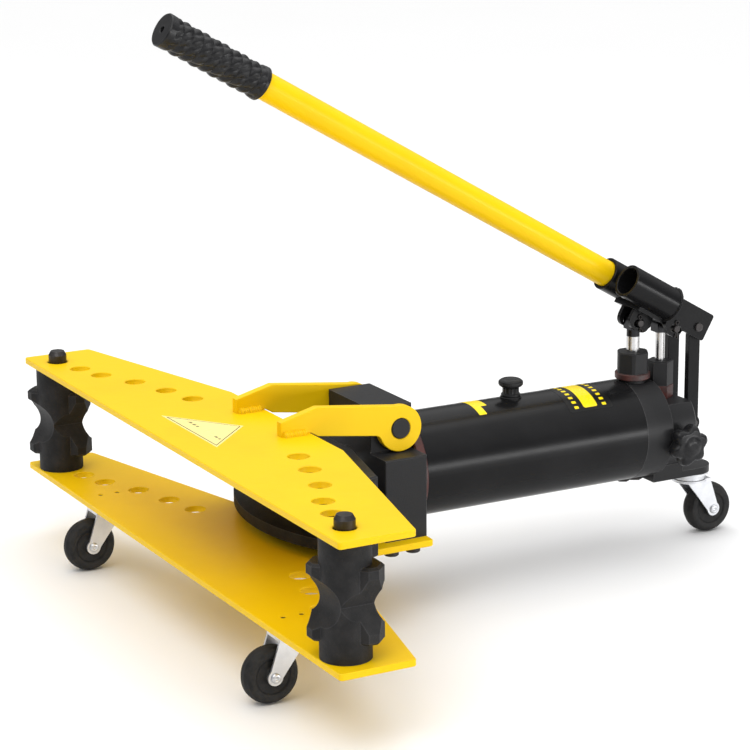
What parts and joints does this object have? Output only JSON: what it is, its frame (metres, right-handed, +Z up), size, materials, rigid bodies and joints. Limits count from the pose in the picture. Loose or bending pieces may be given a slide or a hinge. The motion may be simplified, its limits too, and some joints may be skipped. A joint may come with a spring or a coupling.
{
  "type": "hydraulic pipe bender",
  "caption": "Floor-standing hand-pumped pipe bender: hinged wing plates, corner dies on pins, curved shoe on a ram, oil tank, lever pump and small casters.",
  "frame": {"origin": "centre of the footprint, on the floor under the wheels", "axes": "+X along the wing plates, +Y from the plates towards the pump, +Z up"},
  "size_m": [0.78, 0.7416, 0.6421],
  "materials": {
    "black_cast": "rough",
    "black_plastic": "satin",
    "bright_steel": "polished",
    "dark_steel": "satin",
    "decal_print": "gloss",
    "gloss_black": "gloss",
    "grip_rubber": "satin",
    "machined_steel": "satin",
    "red_primer": "satin",
    "satin_black": "satin",
    "seal_rubber": "matte",
    "wheel_rubber": "matte",
    "yellow_paint": "gloss",
    "zinc": "satin"
  },
  "bodies": {
    "base": {"bottom_plate": "yellow_paint", "head_block": "satin_black", "rod_wiper": "seal_rubber", "head_screws": "dark_steel", "hinge_pin": "satin_black", "return_spring": "machined_steel", "front_flange": "red_primer", "work_cylinder": "machined_steel", "tank_tube": "gloss_black", "filler_boss": "gloss_black", "pump_body": "satin_black", "valve_plugs": "dark_steel", "large_washer": "red_primer", "large_gland": "satin_black", "small_collar": "red_primer", "small_gland": "satin_black", "valve_gland": "dark_steel", "caster_screws": "dark_steel", "caster_mount_front_right": "zinc", "caster_mount_front_left": "zinc", "caster_mount_rear": "zinc"},
    "flap": {"top_plate": "yellow_paint", "arm_right": "yellow_paint", "arm_left": "yellow_paint", "arm_welds": "yellow_paint", "decal_plate": "decal_print"},
    "right_die": {"die_right": "black_cast"},
    "left_die": {"die_left": "black_cast"},
    "right_die_pin": {"die_pin_right": "dark_steel"},
    "left_die_pin": {"die_pin_left": "dark_steel"},
    "ram": {"ram_rod": "bright_steel", "piston": "machined_steel", "piston_seal": "seal_rubber"},
    "shoe": {"bending_shoe": "black_cast"},
    "link": {"link_bars": "gloss_black", "link_pin": "dark_steel"},
    "lever": {"socket_right": "gloss_black", "socket_left": "gloss_black", "lever_web": "gloss_black", "cheek_right": "gloss_black", "cheek_left": "gloss_black", "fulcrum_pin": "dark_steel"},
    "handle": {"handle_tube": "yellow_paint", "handle_grip": "grip_rubber"},
    "large_pump": {"large_plunger": "bright_steel", "large_plunger_pin": "dark_steel"},
    "small_pump": {"small_plunger": "bright_steel", "small_plunger_pin": "dark_steel"},
    "release_valve": {"release_stem": "machined_steel", "release_knob": "black_plastic"},
    "filler": {"filler_plug": "black_plastic"},
    "swivel_front_right": {"caster_fork_front_right": "zinc", "caster_axle_front_right": "zinc"},
    "wheel_front_right": {"caster_wheel_front_right": "wheel_rubber"},
    "swivel_front_left": {"caster_fork_front_left": "zinc", "caster_axle_front_left": "zinc"},
    "wheel_front_left": {"caster_wheel_front_left": "wheel_rubber"},
    "swivel_rear": {"caster_fork_rear": "zinc", "caster_axle_rear": "zinc"},
    "wheel_rear": {"caster_wheel_rear": "wheel_rubber"}
  },
  "joints": [
    {"name": "flap_hinge", "type": "hinge", "parent": "base", "child": "flap", "pos_m": [0, -0.09925, 0.2], "axis": [-1, 0, 0], "range_deg": [0, 90]},
    {"name": "ram_slide", "type": "slide", "parent": "base", "child": "ram", "axis": [0, -1, 0], "range_m": [0, 0.2], "deforming": ["return_spring"]},
    {"name": "shoe_pull", "type": "slide", "parent": "ram", "child": "shoe", "axis": [0, -1, 0], "range_m": [0, 0.05]},
    {"name": "lever_pump", "type": "hinge", "parent": "link", "child": "lever", "pos_m": [0, 0.30088, 0.25557], "axis": [-1, 0, 0], "range_deg": [-20, 10]},
    {"name": "link_swing", "type": "hinge", "parent": "base", "child": "link", "pos_m": [0, 0.30175, 0.141], "axis": [1, 0, 0], "range_deg": [-1, 1]},
    {"name": "large_plunger_slide", "type": "slide", "parent": "base", "child": "large_pump", "axis": [0, 0, 1], "range_m": [-0.026, 0.02]},
    {"name": "small_plunger_slide", "type": "slide", "parent": "base", "child": "small_pump", "axis": [0, 0, 1], "range_m": [-0.012, 0.009]},
    {"name": "handle_pull", "type": "slide", "parent": "lever", "child": "handle", "axis": [0, -0.866, 0.5], "range_m": [0, 0.08]},
    {"name": "release_turn", "type": "hinge", "parent": "base", "child": "release_valve", "pos_m": [0, 0.26525, 0.131], "axis": [1, 0, 0], "range_deg": [0, 360]},
    {"name": "filler_turn", "type": "hinge", "parent": "base", "child": "filler", "pos_m": [0, 0.07175, 0.2], "axis": [0, 0, 1], "range_deg": [0, 360]},
    {"name": "right_die_spin", "type": "hinge", "parent": "base", "child": "right_die", "pos_m": [0.352, -0.32225, 0.14], "axis": [0, 0, 1], "continuous": true},
    {"name": "right_die_pin_lift", "type": "slide", "parent": "base", "child": "right_die_pin", "axis": [0, 0, 1], "range_m": [0, 0.15]},
    {"name": "left_die_spin", "type": "hinge", "parent": "base", "child": "left_die", "pos_m": [-0.352, -0.32225, 0.14], "axis": [0, 0, 1], "continuous": true},
    {"name": "left_die_pin_lift", "type": "slide", "parent": "base", "child": "left_die_pin", "axis": [0, 0, 1], "range_m": [0, 0.15]},
    {"name": "swivel_turn_front_right", "type": "hinge", "parent": "base", "child": "swivel_front_right", "pos_m": [0.228, -0.31535, 0.06], "axis": [0, 0, 1], "continuous": true},
    {"name": "wheel_spin_front_right", "type": "hinge", "parent": "swivel_front_right", "child": "wheel_front_right", "pos_m": [0.228, -0.34135, 0.0294], "axis": [1, 0, 0], "continuous": true},
    {"name": "swivel_turn_front_left", "type": "hinge", "parent": "base", "child": "swivel_front_left", "pos_m": [-0.228, -0.31535, 0.06], "axis": [0, 0, 1], "continuous": true},
    {"name": "wheel_spin_front_left", "type": "hinge", "parent": "swivel_front_left", "child": "wheel_front_left", "pos_m": [-0.228, -0.34135, 0.0294], "axis": [1, 0, 0], "continuous": true},
    {"name": "swivel_turn_rear", "type": "hinge", "parent": "base", "child": "swivel_rear", "pos_m": [0, 0.31535, 0.06], "axis": [0, 0, 1], "continuous": true},
    {"name": "wheel_spin_rear", "type": "hinge", "parent": "swivel_rear", "child": "wheel_rear", "pos_m": [0, 0.34135, 0.0294], "axis": [1, 0, 0], "continuous": true}
  ],
  "couplings": [
    {"joint": "link_swing", "follows": "lever_pump", "ratio": 0.03},
    {"joint": "large_plunger_slide", "follows": "lever_pump", "m_per_rad": 0.0675},
    {"joint": "small_plunger_slide", "follows": "lever_pump", "m_per_rad": 0.0295}
  ]
}
